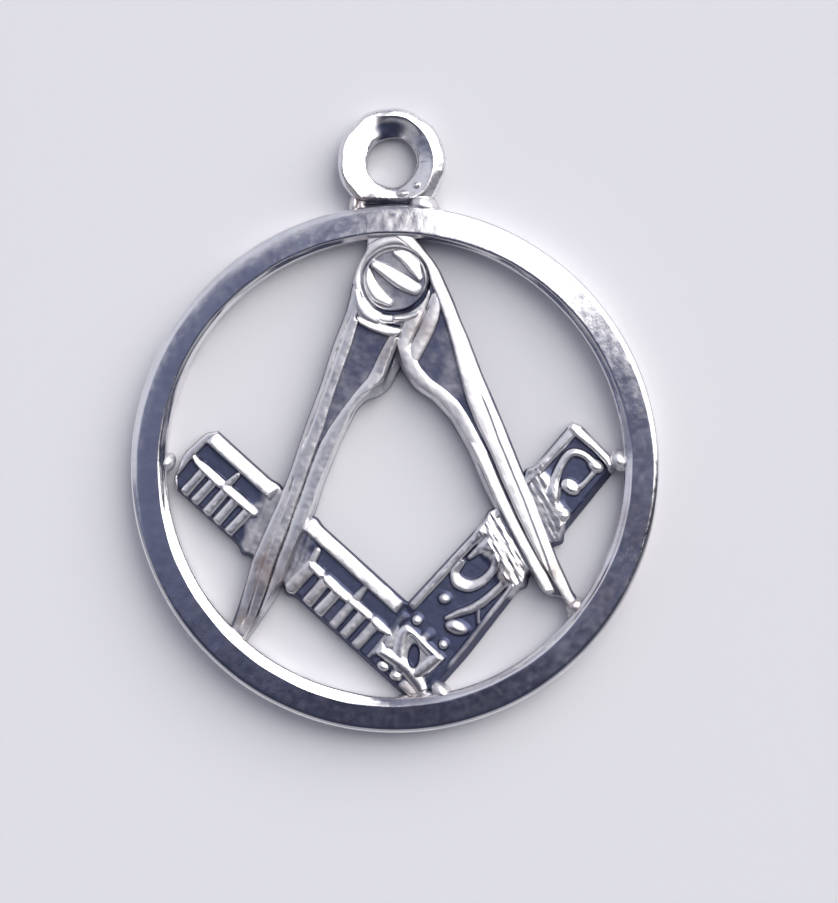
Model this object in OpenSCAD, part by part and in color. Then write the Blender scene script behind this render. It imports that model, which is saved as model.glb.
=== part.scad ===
// A round pierced watch fob of silver: a flat ring with a suspension loop soldered to its top, and the
// square and compasses set across its opening. It is one rigid piece of metal. It lies on its back with
// +Z up and the loop towards +Y, and its origin is under the middle of its outline.

/* [Ring] */
// Outside diameter of the ring
ring_d = 26; // [25.8:0.1:26.4]
// Thickness of the ring
ring_t = 1.6; // [1.5:0.05:2]
// Width of the ring's flat face, outer bevel included
face_w = 1.4; // [1.3:0.05:1.5]
// How far the chamfer on the ring's inner edge reaches in past the face
slope_w = 0.5; // [0.4:0.05:0.6]
// How deep that chamfer goes
slope_h = 0.35; // [0.3:0.05:0.6]
// Height and width of the bevel on the ring's outer edges
ring_bevel = 0.2; // [0.1:0.05:0.3]

/* [Suspension loop] */
// Radius of the loop's hole
loop_hole_r = 1.21; // [1.1:0.01:1.3]
// Thickness of the loop's wire
loop_wire_d = 1.54; // [1.4:0.02:1.6]
// How deep the hole's straight wall cuts into the round wire
loop_land = 0.05; // [0.02:0.01:0.1]
// How far the loop's outside sinks into the ring's edge
loop_sink = 0.52; // [0.4:0.02:0.7]

/* [Heights above the ring's back] */
// Back of the square and compasses
emblem_back = 0.15; // [0.1:0.05:0.3]
// Sunk ground of the square
square_ground = 0.8; // [0.7:0.05:0.85]
// Borders, bars and scrolls of the square
square_top = 1.05; // [1:0.05:1.1]
// Sunk panels and grooves of the compasses
compass_floor = 1.15; // [1.1:0.05:1.2]
// Borders and ridges of the compasses
compass_top = 1.35; // [1.3:0.05:1.4]
// Hinge disc on the head
disc_top = 1.45; // [1.4:0.05:1.5]

/* [Square] */
// Direction of the rule arm, from +X
rule_deg = 137.3; // [137:0.1:137.6]
// Direction of the scroll arm, from +X
scroll_deg = 46.5; // [46.2:0.1:46.8]
// Width of the rule arm
rule_w = 3.55; // [3.45:0.05:3.6]
// Pitch of the raised bars on the rule arm
bar_pitch = 0.79; // [0.76:0.01:0.82]
// Width of a raised bar, along the arm
bar_w = 0.42; // [0.36:0.02:0.46]

/* [Compasses] */
// Lean of the left leg from the vertical
left_lean = 24.45; // [24.2:0.05:24.7]
// Lean of the right leg from the vertical
right_lean = 27.6; // [27.4:0.1:27.8]
// Radius of the hinge disc
disc_r = 1.5; // [1.4:0.05:1.55]
// Width of the round groove outside the disc
disc_groove = 0.2; // [0.15:0.05:0.25]
// Width of the raised bar across the disc
disc_bar_w = 0.62; // [0.5:0.02:0.7]
// Fall of that bar to the right
disc_bar_deg = -32; // [-36:1:-28]

/* [Hidden] */
$fn = 96;

ring_r = ring_d / 2;
face_in = ring_r - face_w;
wall_in = face_in - slope_w;
loop_r = loop_hole_r + loop_wire_d / 2 - loop_land;
loop_out = loop_r + loop_wire_d / 2;
loop_y = ring_r - loop_sink + loop_out;
ring_y = (ring_r - (loop_y + loop_out)) / 2;
// The emblem is trimmed to this circle, which lies inside the ring's metal.
trim_r = face_in - 0.2;
bite = 0.3;

// Where the square's arms meet on the inside, and the centre of the compasses' hinge
inner_corner = [0.47, -6.5];
pivot = [0.13, 9.3];

// Outline of the scroll arm: distance along the arm, distance across it
scroll_plan = [[-3.6, 0.12], [9, 0.12], [12.1, 0], [12.25, 0.45], [12.15, 2.5], [11.8, 3.2],
    [8, 3.42], [4.2, 3.72], [0.2, 4.1], [-3.6, 4.2]];
// Sunk grounds of the scroll arm, on either side of the leg that crosses it, in the same columns
scroll_grounds = [[[0.1, 0.62], [4.7, 0.62], [5, 1.3], [4.9, 2.3], [4.4, 3.15], [2.4, 3.27],
    [-0.2, 3.6], [-1, 3], [0.7, 2.1]],
    [[9.2, 0.62], [11.35, 0.55], [11.55, 2.6], [11.2, 3], [8, 3.12], [7.6, 2.7], [8.3, 1.6]]];

// Outlines of the legs: distance along the leg, half width outside its axis, half width inside
left_leg_plan = [[1, 1.9, 0.6], [2.4, 1.6, 1.6], [3.9, 1.56, 1.98], [4.9, 1.46, 1.9], [5.5, 1.38, 1.6],
    [5.95, 1.34, 1.05], [6.6, 1.28, 0.82], [8.4, 1.15, 0.73], [10.6, 0.95, 0.82], [12, 0.93, 1],
    [15.4, 0.93, 1], [16.6, 0.71, 0.96], [17.7, 0.57, 0.78], [19.6, 0.5, 0.4]];
right_leg_plan = [[1, 2.15, 0.6], [2.5, 2.08, 1.5], [3.95, 1.93, 1.86], [5.05, 1.8, 1.76],
    [5.5, 1.72, 1.54], [6.1, 1.62, 1.21], [7.4, 1.52, 0.9], [9.2, 1.34, 0.86], [11.3, 1.1, 1.05],
    [12.8, 0.95, 1.07], [15.6, 0.6, 1.1], [15.9, 0.56, 0.8], [17.3, 0.42, 0.62], [17.6, 0.37, 0.1],
    [19.6, 0.3, 0.1]];
// Sunk panels of the legs, in the same columns
left_panel = [[2.75, 0.7, 0.88], [4, 0.63, 0.94], [4.8, 0.57, 0.86], [5.6, 0.52, 0.6],
    [6.6, 0.43, 0.28], [7.4, 0.33, 0.11], [9.6, 0.18, -0.08]];
right_panel = [[1.9, 1.4, -1.1], [2.8, 1.24, -0.2], [3.4, 1.11, 0.34], [3.83, 1, 0.68],
    [5, 0.72, 0.63], [6, 0.47, 0.28], [6.98, 0.26, 0.04], [8.2, 0.14, 0], [9.3, 0.1, 0]];
// Grooves between the ridges of the legs: distance along the leg, distance outside its axis
left_groove = [[9.2, 0.09], [12, 0], [15.5, -0.2]];
right_grooves = [[[9.4, 0.7], [12.5, 0.37], [15.4, 0], [16.9, -0.27]],
    [[9.1, 0.05], [11.1, -0.12], [14.4, -0.3]], [[12.6, -0.83], [15.5, -0.88]]];
leg_groove_w = 0.14;

// Outline of the compass head above its legs
head_plan = [[-1.3, 11.6], [-1.31, 10.8], [-1.71, 10.2], [-2.01, 9.43], [-2.17, 8.84], [-2.33, 7.8],
    [-0.9, 6.5], [0.35, 5.6], [1.9, 6.6], [3.08, 8.04], [2.91, 8.53], [2.67, 9.18], [2.43, 9.77],
    [2.09, 10.27], [1.7, 10.72], [1.42, 11.1], [1.42, 11.6]];
// The line where the two legs meet below the disc, and the groove along the right leg's inner border
hip_lines = [[[0.5, 6.55], [0.1, 5.7], [-0.2, 4.9]], [[1.67, 7.8], [0.75, 5.6]]];

// The rule arm's end, and its sunk strip: the edges across it, and where each stretch starts and stops
rule_end = [[12.5, 0], [12.9, 0.45], [13.05, 1.9], [12.6, 3.2], [12.05, 3.55]];
rule_strip = [0.62, 1.48];
strip_stretches = [[-0.4, 1.74], [2.02, 4.58], [8.6, 10.23], [10.51, 12.45]];
// The comb of bars: its upper end, and the first bar and number of gaps of its two groups
bar_top = 2.02;
bar_groups = [[-0.4, 6], [8.6, 5]];

// Scrolls of the scroll arm: the spiral's stem and curl, the stem beside the leaf, and its branch
scroll_stems = [[[7.7, 2.4], [8.4, 1.78], [9.3, 1.22]], [[11.2, 2.2], [10.8, 2.55], [10.2, 2.6]],
    [[0.6, 1.95], [1.57, 2.15], [2.3, 2.5], [3.3, 2.75], [4.5, 2.6]], [[2.2, 2.5], [2.1, 3], [1.4, 3.5]]];
// Its round scrolls: centre, half length, half width, first and last angle
scroll_rounds = [[[10.3, 1.95], 0.92, 0.95, 215, 380], [[3.6, 1.4], 1.15, 0.62, 0, 360]];
scroll_w = 0.32;
// Dots, leaf and nodes of the scroll arm: place along, place across, radius
scroll_dots = [[-0.24, 1.03, 0.3], [-0.44, 1.9, 0.24], [1.43, 1.31, 0.27], [-0.27, 2.81, 0.25],
    [0.72, 2.75, 0.4], [8.42, 2.83, 0.27], [9.75, 2.3, 0.38], [11.15, 2.35, 0.33]];

// Solder nubs: place, radius
nub_rows = [[[-11.15, 0.4], 0.42], [[11.1, 0.3], 0.42], [[0.35, -11.35], 0.4], [[2.25, -11.1], 0.42],
    [[8.85, -6.9], 0.4], [[-7.75, -7.95], 0.4]];
nub_top = 1.25;

// Webs of metal in the corners where the legs cross the arms
webs = [[[-7.85, -3.7], [-7.15, -4.6], [-6.6, -3.5]],
    [[-6, -6.35], [-5.7, -6.08], [-5.3, -5.98], [-4.95, -6.13], [-4.65, -6.6], [-4.7, -5.7], [-5.7, -5.4]],
    [[6, -6.1], [6.2, -5.86], [6.6, -5.77], [6.9, -5.87], [7.1, -6.3], [7.35, -5.6], [6.4, -5.1]],
    [[8.1, -3.8], [8.25, -4.65], [7.7, -4]]];

// An arc of an ellipse as a list of points
function arc(c, rx, ry, from, to, steps = 16) =
    [for (i = [0:steps]) let (a = from + (to - from) * i / steps) c + [rx * cos(a), ry * sin(a)]];

function across(p, i) =
    let (d = p[min(i + 1, len(p) - 1)] - p[max(i - 1, 0)]) [-d[1], d[0]] / norm(d);

// A path given a width, as the outline of a ribbon
function ribbon(p, w) = concat(
    [for (i = [0:len(p) - 1]) p[i] + across(p, i) * w / 2],
    [for (i = [len(p) - 1:-1:0]) p[i] - across(p, i) * w / 2]);

// A leg's table as an outline, along -Y with its outside towards -X
function leg_outline(rows) = concat(
    [for (r = rows) [-r[1], -r[0]]],
    [for (i = [len(rows) - 1:-1:0]) [rows[i][2], -rows[i][0]]]);

function leg_path(rows) = [for (r = rows) [-r[1], -r[0]]];

// A ribbon along an open path, or round a closed one
module ribbon_shape(p, w) {
    if (norm(p[0] - p[len(p) - 1]) > w) {
        polygon(ribbon(p, w));
    } else {
        difference() {
            polygon([for (i = [0:len(p) - 2]) p[i] - across(p, i) * w / 2]);
            polygon([for (i = [0:len(p) - 2]) p[i] + across(p, i) * w / 2]);
        }
    }
}

module raised(low, high) {
    translate([0, 0, low])
        linear_extrude(high - low)
            children();
}

module trimmed(low, high) {
    raised(low, high)
        intersection() {
            circle(r = trim_r);
            children();
        }
}

module ring() {
    color("silver")
        rotate_extrude()
            polygon([[wall_in, 0], [ring_r - ring_bevel, 0], [ring_r, ring_bevel],
                [ring_r, ring_t - ring_bevel], [ring_r - ring_bevel, ring_t], [face_in, ring_t],
                [wall_in, ring_t - slope_h]]);
}

module suspension_loop() {
    color("silver")
        translate([0, loop_y, loop_wire_d / 2 + 0.02])
            difference() {
                rotate_extrude()
                    translate([loop_r, 0])
                        circle(d = loop_wire_d);
                cylinder(r = loop_hole_r, h = loop_wire_d + 1, center = true);
            }
}

// The solder that fills the two corners between the loop and the ring
module loop_neck() {
    half = 1.95;
    foot = 2.25;
    color("silver")
        for (side = [-1, 1])
            raised(0.25, 1.25)
                polygon([[side * 0.9, ring_r - 0.6], [side * foot, ring_r - 0.5],
                    [side * foot, ring_r - 0.2], [side * half, ring_r + 0.45],
                    [side * 1.4, ring_r + 0.25]]);
}

module rule_frame() {
    translate(inner_corner)
        rotate(rule_deg)
            children();
}

module scroll_frame() {
    translate(inner_corner)
        rotate(scroll_deg)
            mirror([0, 1])
                children();
}

module rule_arm() {
    color("silver")
        difference() {
            trimmed(emblem_back, square_top)
                rule_frame()
                    polygon(concat([[-3.6, rule_w], [-3.6, 0]], rule_end));
            for (stretch = strip_stretches)
                raised(square_ground, square_top + 1)
                    rule_frame()
                        translate([stretch[0], rule_strip[0]])
                            square([stretch[1] - stretch[0], rule_strip[1] - rule_strip[0]]);
            for (group = bar_groups, i = [0:group[1] - 1])
                raised(square_ground, square_top + 1)
                    rule_frame()
                        translate([group[0] + i * bar_pitch + bar_w / 2, bar_top])
                            square([bar_pitch - bar_w, rule_w]);
        }
}

module scroll_arm() {
    color("silver") {
        difference() {
            trimmed(emblem_back, square_top)
                scroll_frame()
                    polygon(scroll_plan);
            for (ground = scroll_grounds)
                raised(square_ground, square_top + 1)
                    scroll_frame()
                        polygon(ground);
        }
        for (stem = scroll_stems)
            raised(square_ground - bite, square_top - 0.03)
                scroll_frame()
                    polygon(ribbon(stem, scroll_w));
        for (r = scroll_rounds)
            raised(square_ground - bite, square_top - 0.01)
                scroll_frame()
                    ribbon_shape(arc(r[0], r[1], r[2], r[3], r[4]), scroll_w);
        for (dot = scroll_dots)
            scroll_frame()
                translate([dot[0], dot[1], square_ground])
                    sphere(r = dot[2]);
    }
}

// The arch round an oval hollow, and the leaf lobe beside it, where the arms meet
module corner_ornament() {
    eye = [0.78, -9.25];
    color("silver") {
        raised(square_ground - bite, square_top + 0.06)
            polygon(ribbon(arc(eye, 0.72, 0.82, -60, 195), 0.42));
        raised(square_ground - bite, square_top + 0.1)
            polygon(ribbon([[-0.72, -9], [-0.2, -9.25], [0.4, -9.75], [1.1, -10.6]], 0.44));
        for (place = [[-0.1, -10.2], [-0.6, -9.72], [1.55, -8.1]])
            translate([place[0], place[1], square_top - 0.1])
                sphere(r = 0.24);
    }
}

module leg_frame(lean) {
    translate(pivot)
        rotate(-lean)
            children();
}

module left_leg() {
    color("silver")
        difference() {
            trimmed(emblem_back, compass_top)
                leg_frame(left_lean)
                    polygon(leg_outline(left_leg_plan));
            raised(compass_floor, compass_top + 1)
                leg_frame(left_lean)
                    polygon(leg_outline(left_panel));
            raised(compass_floor, compass_top + 1)
                leg_frame(left_lean)
                    polygon(ribbon(leg_path(left_groove), leg_groove_w));
        }
}

module right_leg() {
    color("silver")
        difference() {
            trimmed(emblem_back, compass_top)
                leg_frame(-right_lean)
                    mirror([1, 0])
                        polygon(leg_outline(right_leg_plan));
            raised(compass_floor, compass_top + 1)
                leg_frame(-right_lean)
                    mirror([1, 0])
                        polygon(leg_outline(right_panel));
            for (groove = right_grooves)
                raised(compass_floor, compass_top + 1)
                    leg_frame(-right_lean)
                        mirror([1, 0])
                            polygon(ribbon(leg_path(groove), leg_groove_w));
        }
}

module compass_head() {
    color("silver") {
        difference() {
            trimmed(emblem_back, compass_top)
                polygon(head_plan);
            translate([pivot[0], pivot[1], compass_floor])
                cylinder(r = disc_r + disc_groove, h = 1);
        }
        difference() {
            translate([pivot[0], pivot[1], compass_floor - bite])
                cylinder(r = disc_r, h = disc_top - compass_floor + bite);
            for (side = [-1, 1])
                translate([pivot[0], pivot[1], compass_floor + 0.1])
                    rotate(disc_bar_deg)
                        translate([-disc_r * 2, side * (disc_bar_w / 2 + 0.13) - 0.13, 0])
                            cube([disc_r * 4, 0.26, 1]);
        }
    }
}

// The square lies under the compasses, and the two are one casting.
module emblem() {
    rule_arm();
    scroll_arm();
    corner_ornament();
    difference() {
        union() {
            left_leg();
            right_leg();
        }
        translate([pivot[0], pivot[1], compass_floor])
            cylinder(r = disc_r + disc_groove, h = 1);
        for (line = hip_lines)
            raised(compass_floor, compass_top + 1)
                polygon(ribbon(line, leg_groove_w));
    }
    compass_head();
    color("silver")
        for (web = webs)
            raised(emblem_back, square_top - 0.05)
                polygon(web);
}

module solder_nubs() {
    color("silver")
        for (row = nub_rows)
            translate([row[0][0], row[0][1], emblem_back + 0.1])
                cylinder(r = row[1], h = nub_top - emblem_back - 0.1);
}

module fob() {
    translate([0, ring_y, 0]) {
        ring();
        suspension_loop();
        loop_neck();
        emblem();
        solder_nubs();
    }
}

fob();
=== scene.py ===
import math
import bpy
import numpy as np
from mathutils import Matrix, Vector


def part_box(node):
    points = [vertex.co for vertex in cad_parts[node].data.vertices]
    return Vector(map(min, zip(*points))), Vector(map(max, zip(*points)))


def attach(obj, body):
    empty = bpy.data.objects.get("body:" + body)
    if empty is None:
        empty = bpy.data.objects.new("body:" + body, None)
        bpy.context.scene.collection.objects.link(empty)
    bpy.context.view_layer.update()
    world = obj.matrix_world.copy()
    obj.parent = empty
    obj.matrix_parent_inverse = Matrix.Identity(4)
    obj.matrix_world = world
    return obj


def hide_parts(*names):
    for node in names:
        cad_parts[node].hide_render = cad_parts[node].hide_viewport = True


# A pierced silver watch fob that lies on its back: a flat ring, a suspension loop soldered to it, and
# the square and compasses in its opening.
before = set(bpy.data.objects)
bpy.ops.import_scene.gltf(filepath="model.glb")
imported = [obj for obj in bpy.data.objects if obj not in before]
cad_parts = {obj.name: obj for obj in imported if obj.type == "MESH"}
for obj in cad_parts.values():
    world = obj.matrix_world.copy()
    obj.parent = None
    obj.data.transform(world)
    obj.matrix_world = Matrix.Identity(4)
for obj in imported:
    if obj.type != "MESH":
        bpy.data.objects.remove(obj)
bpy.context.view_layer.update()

# Shapes are worked out in millimetres from the ring's centre, with the back of the fob at height 0.
mm = 0.001
lowCorner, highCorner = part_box("fob")
ringRadius = (highCorner.x - lowCorner.x) / 2 / mm
ringMiddle = lowCorner.y / mm + ringRadius
fobTop = highCorner.z / mm
loopTopY = highCorner.y / mm - ringMiddle

levels = {
    "back": 0.15,           # underside of the square and compasses
    "ground": 0.8,          # sunk ground of the square
    "square": 1.05,         # borders, bars and scrolls of the square
    "panel": 1.12,          # sunk panels of the legs
    "compass": 1.36,        # borders and ridges of the compasses
}
print("frame loaded: ring radius", round(ringRadius, 2), "mm")


def smooth(t):
    # 3 t^2 - 2 t^3, with t held between 0 and 1
    t = np.clip(t, 0, 1)
    return t * t * (3 - 2 * t)


def band(t, low, high, soft):
    # 1 between low and high, falling to 0 over a width of soft centred on each of them
    return smooth((t - low) / soft + 0.5) * smooth((high - t) / soft + 0.5)


def table(t, rows, column=1, soften=0.15):
    # straight lines between the rows, averaged over a window of soften on either side
    rows = np.asarray(rows, float)
    shifts = np.linspace(-soften, soften, 7)
    return sum(np.interp(t + shift, rows[:, 0], rows[:, column]) for shift in shifts) / len(shifts)


def stacked(*parts):
    # one grid of several values from grids that are spread over the same rows and columns
    return np.stack(np.broadcast_arrays(*parts), 2)


def crowded(count, amount):
    # 0 to 1 in steps that lie closer together at both ends: t - amount * sin(2 pi t) / (2 pi)
    t = np.linspace(0, 1, count)
    return t - amount * np.sin(2 * math.pi * t) / (2 * math.pi)


def curve(points, steps=6):
    # a Catmull-Rom spline: each stretch is a cubic whose ends run along the chords of their neighbours
    p = np.asarray(points, float)
    p = np.vstack([2 * p[0] - p[1], p, 2 * p[-1] - p[-2]])
    t = np.linspace(0, 1, steps, endpoint=False)[:, None]
    parts = []
    for a, b, c, d in zip(p, p[1:], p[2:], p[3:]):
        parts.append(0.5 * (2 * b + (c - a) * t + (2 * a - 5 * b + 4 * c - d) * t ** 2
                            + (3 * b - a - 3 * c + d) * t ** 3))
    return np.vstack(parts + [p[-2:-1]])


def pathDistance(x, y, path):
    # distance to the nearest point of the line through the path's points, above 0 on its left side, and
    # how far along the line that point is, 0 to 1
    path = np.asarray(path, float)
    lengths = np.hypot(*np.diff(path, axis=0).T)
    before = np.concatenate([[0], np.cumsum(lengths)])
    best = np.full(x.shape, 1e9)
    share, side = np.zeros(x.shape), np.ones(x.shape)
    for a, b, length, start in zip(path, path[1:], lengths, before):
        dx, dy = x - a[0], y - a[1]
        ux, uy = (b - a) / length
        t = np.clip((dx * ux + dy * uy) / length, 0, 1)
        d = np.hypot(dx - t * length * ux, dy - t * length * uy)
        nearer = d < best
        share = np.where(nearer, (start + t * length) / before[-1], share)
        side = np.where(nearer, np.sign(ux * dy - uy * dx + 1e-9), side)
        best = np.minimum(best, d)
    return best * side, share


def back(u, fullness, crest):
    # a rounded back over u from -1 to 1: (1 - v^2) to the power of fullness, where v is the distance
    # from the crest as a share of the way to that side's edge
    v = np.where(u < crest, (u - crest) / (1 + crest), (u - crest) / (1 - crest))
    return np.clip(1 - v ** 2, 0, 1) ** fullness


def ridge(t, low, high, fullness, crest):
    # a rounded back from one edge at low to the other at high
    return back((2 * t - low - high) / (high - low), fullness, crest)


def wire(x, y, path, halves, height, fullness, crest=0):
    # a rounded ridge along a path; its crest may lie nearer the path's left side (crest above 0)
    d, share = pathDistance(x, y, path)
    half = np.interp(share, np.linspace(0, 1, len(halves)), halves)
    return height * back(d / half, fullness, crest)


def wires(x, y, rows, fullness, crest=0, bent=True):
    # the highest of several ridges: each row holds a path, half widths and a height, and a crest of its
    # own if it has one; bent paths are splines through their points, and the others are straight lines
    return np.maximum.reduce([wire(x, y, curve(path) if bent else path, halves, height, fullness,
                                   *(own or [crest])) for path, halves, height, *own in rows])


def bead(x, y, centre, radii, turn, height, towards=0, lean=0):
    # an oval dome: height times (1 - oval distance^2) to the power 0.6, and lower towards one direction
    # by the lean, which is the share of the height lost at the edge there
    c, s = math.cos(math.radians(turn)), math.sin(math.radians(turn))
    dx, dy = x - centre[0], y - centre[1]
    far = ((dx * c + dy * s) / radii[0]) ** 2 + ((dy * c - dx * s) / radii[1]) ** 2
    ahead = (dx * math.cos(math.radians(towards)) + dy * math.sin(math.radians(towards))) / max(radii)
    return height * np.clip(1 - far, 0, 1) ** 0.6 * (1 - lean * ahead)


def beads(x, y, rows, towards, lean):
    # the highest of several domes
    return np.maximum.reduce([bead(x, y, *row, towards, lean) for row in rows])


def groove(x, y, path, half, depth):
    # a soft furrow along a path: depth times e to the minus (distance / half width)^2, faded at both ends
    d, share = pathDistance(x, y, path)
    return depth * np.exp(-(d / half) ** 2) * smooth(share * 8 + 0.1) * smooth((1 - share) * 8 + 0.1)


def edgeDrop(d, radius):
    # how far a rounded edge has fallen at a distance d inside it:
    # radius - sqrt(radius^2 - (radius - d)^2)
    inside = radius - np.clip(d, 0, radius)
    return radius - np.sqrt(np.maximum(radius ** 2 - inside ** 2, 0))


def unevenness(x, y, waves):
    # a sum of cast waves, from rows of length, seed and height
    return sum(height * castWaves(x, y, length, seed) for length, seed, height in waves)


def castWaves(x, y, length, seed):
    # a sum of sine waves of about that length, whose directions are a golden turn apart
    total = np.zeros(np.broadcast(x, y).shape)
    for k in range(7):
        turn = (k + seed) * 2.4
        wave = 2 * math.pi / (length * (0.7 + 0.1 * k))
        total += np.sin(wave * (x * math.cos(turn) + y * math.sin(turn)) + 1.7 * k * seed)
    return total / 7


# Places where tarnish and solder have left a brown bloom: centre, radius, strength
blooms = [((0, 12.2), 1.7, 0.3), ((-6.3, -4.9), 1.3, 1), ((-4.6, -5.6), 0.9, 0.7),
          ((5.5, -5.4), 0.9, 0.8), ((7.9, -5.0), 0.9, 0.9), ((-0.6, 5.9), 0.8, 0.9),
          ((1.3, 6.9), 0.9, 0.6), ((-7.6, -7.6), 0.7, 1), ((8.7, -6.8), 0.6, 0.7),
          ((3.6, -8.6), 1.2, 0.7), ((0.8, -10.8), 1.0, 0.6), ((11.6, -3.0), 1.6, 0.5),
          ((10.2, -6.2), 1.4, 0.5), ((-1.4, 13.2), 0.7, 0.8)]
# A plate's wall from its rim down: share of the way out to the foot, share of the way down
wallSteps = [(0.2, 0.2), (0.4, 0.4), (0.6, 0.6), (0.8, 0.8), (1, 0.93), (0.96, 1)]
# How sunk, so how dark with tarnish and painted shade and how dull, a steep face counts at least, how much
# more a wall's foot does as painted shade, and how sunk the underside is
wallTarnishAndShade = {"steep": 0.3, "foot": 0.4, "under": 0.3}


def makePiece(name, points, faces, depth, grain, metal):
    # points in millimetres from the ring's centre; depth says how sunk each point is, 0 to 1, which darkens
    # it with tarnish and painted shade and dulls it, and grain is a place in millimetres that changes slowly
    # along the tool marks and fast across them
    points = np.asarray(points)
    mesh = bpy.data.meshes.new(name)
    mesh.from_pydata(((points + (0, ringMiddle, 0)) * mm).tolist(), [], faces)
    mesh.shade_smooth()
    mesh.set_sharp_from_angle(angle=math.radians(50))
    normals = np.empty(len(points) * 3, np.float32)
    mesh.vertex_normals.foreach_get("vector", normals)
    steep = smooth((0.8 - np.abs(normals[2::3])) / 0.45)    # walls are duller than what is rubbed, and darker with tarnish and painted shade
    sunk = np.clip(np.maximum(depth, wallTarnishAndShade["steep"] * steep), 0, 1)
    bloom = np.zeros(len(points))
    for (cx, cy), radius, strength in blooms:
        far = ((points[:, 0] - cx) ** 2 + (points[:, 1] - cy) ** 2) / radius ** 2
        bloom = np.maximum(bloom, strength * np.exp(-far))
    mesh.attributes.new("depth", "FLOAT", "POINT").data.foreach_set("value", sunk.astype(np.float32))
    mesh.attributes.new("bloom", "FLOAT", "POINT").data.foreach_set("value", bloom.astype(np.float32))
    marks = np.asarray(grain, np.float32).reshape(-1)
    mesh.attributes.new("grain", "FLOAT_VECTOR", "POINT").data.foreach_set("vector", marks)
    piece = bpy.data.objects.new(name, mesh)
    bpy.context.scene.collection.objects.link(piece)
    mesh.materials.append(metal)
    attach(piece, "root")
    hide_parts("fob")
    print(name, len(faces), "faces")


def plate(name, top, foot, under, depth, grain, metal):
    # a closed plate: a grid of points on top, a wall that runs from its rim out to the rim of the foot
    # grid, and a flat underside of strips from one long side to the other
    rows, cols = top.shape[:2]
    i, j = np.arange(rows), np.arange(cols)
    # the numbers of the grid's outer points, once round it
    rim = np.concatenate([i[:-1] * cols, (rows - 1) * cols + j[:-1],
                          i[:0:-1] * cols + cols - 1, j[:0:-1]])
    points, footRim = top.reshape(-1, 3), foot.reshape(-1, 2)[rim]
    topRim, rimDepth = points[rim], depth.reshape(-1)[rim]
    grain = grain.reshape(-1, 3)
    layers, depths, grains = [points], [depth.reshape(-1)], [grain]
    for lean, drop in wallSteps:
        layer = topRim.copy()
        layer[:, :2] += lean * (footRim - topRim[:, :2])
        layer[:, 2] += drop * (under - topRim[:, 2])
        layers.append(layer)
        # the wall darkens towards its foot: painted shade
        depths.append(np.clip(rimDepth + wallTarnishAndShade["foot"] * drop, 0, 1))
        grains.append(grain[rim])
    a = (i[:-1, None] * cols + j[None, :-1]).reshape(-1)
    quads = [np.stack([a, a + 1, a + cols + 1, a + cols], 1)]
    size, here, start = len(rim), rim, len(points)
    for _ in layers[1:]:
        below = start + np.arange(size)
        quads.append(np.stack([here, np.roll(here, -1), np.roll(below, -1), below], 1))
        here, start = below, start + size
    # strips of the underside, which start at the wall's foot along one long side
    far = 2 * (rows - 1) + cols - 1
    near, opposite = here[:rows], here[far - np.arange(rows)]
    left, right = layers[-1][:rows], layers[-1][far - np.arange(rows)]
    for share in (0.1, 0.5, 0.9):
        inner = start + np.arange(rows)
        layers.append(left + (right - left) * share)
        depths.append(np.full(rows, wallTarnishAndShade["under"]))
        grains.append(grain[i * cols + int(share * (cols - 1))])
        quads.append(np.stack([near[:-1], near[1:], inner[1:], inner[:-1]], 1))
        near, start = inner, start + rows
    quads.append(np.stack([near[:-1], near[1:], opposite[1:], opposite[:-1]], 1))
    faces = np.vstack(quads).tolist()
    # one face more at each of its two ends, between the strips and the wall's foot
    ends = [start - 3 * rows, start - 2 * rows, start - rows]
    faces.append(here[rows - 1:rows - 1 + cols].tolist() + [end + rows - 1 for end in ends[::-1]])
    faces.append(here[np.r_[far:size, 0]].tolist() + ends)
    p = points[quads[0]]
    facing = np.cross(p[:, 1] - p[:, 0], p[:, 3] - p[:, 0])[:, 2].sum()
    if facing < 0:      # the top would face down
        faces = [face[::-1] for face in faces]
    makePiece(name, np.vstack(layers), faces, np.concatenate(depths), np.vstack(grains), metal)


def tube(name, grid, depth, grain, metal):
    # a grid that closes on itself both ways, such as a section carried round a circle
    rows, cols = grid.shape[:2]
    i, j = np.arange(rows)[:, None] * cols, np.arange(cols)[None, :]
    down, right = np.roll(i, -1), np.roll(j, -1)
    quads = np.stack([i + j, i + right, down + right, down + j], 2).reshape(-1, 4)
    points = grid.reshape(-1, 3)
    p = points[quads]
    # six times the volume inside, which is below 0 if the faces are inside out
    volume = (p[:, 0] * np.cross(p[:, 1], p[:, 2])).sum() + (p[:, 0] * np.cross(p[:, 2], p[:, 3])).sum()
    if volume < 0:
        quads = quads[:, ::-1]
    makePiece(name, points, quads.tolist(), depth.reshape(-1), grain, metal)


def node(tree, kind, inputs=None, **settings):
    # a new shader node, with each input linked to a socket or set to a value
    made = tree.nodes.new(kind)
    for key, value in settings.items():
        setattr(made, key, value)
    for key, value in (inputs or {}).items():
        if isinstance(value, bpy.types.NodeSocket):
            tree.links.new(value, made.inputs[key])
        else:
            made.inputs[key].default_value = value
    return made


def ranged(tree, value, start, stop, before, after):
    # a smooth step from one value to another while the input goes from start to stop
    inputs = {"Value": value, 1: start, 2: stop, 3: before, 4: after}
    return node(tree, "ShaderNodeMapRange", inputs, interpolation_type="SMOOTHSTEP").outputs[0]


def maths(tree, operation, a, b=0.0):
    # one step of arithmetic
    return node(tree, "ShaderNodeMath", {0: a, 1: b}, operation=operation).outputs[0]


def mixed(tree, factor, first, second):
    # a blend of two colours, all of the second one where the factor is 1
    return node(tree, "ShaderNodeMix", {0: factor, 6: first, 7: second}, data_type="RGBA").outputs[2]


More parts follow.
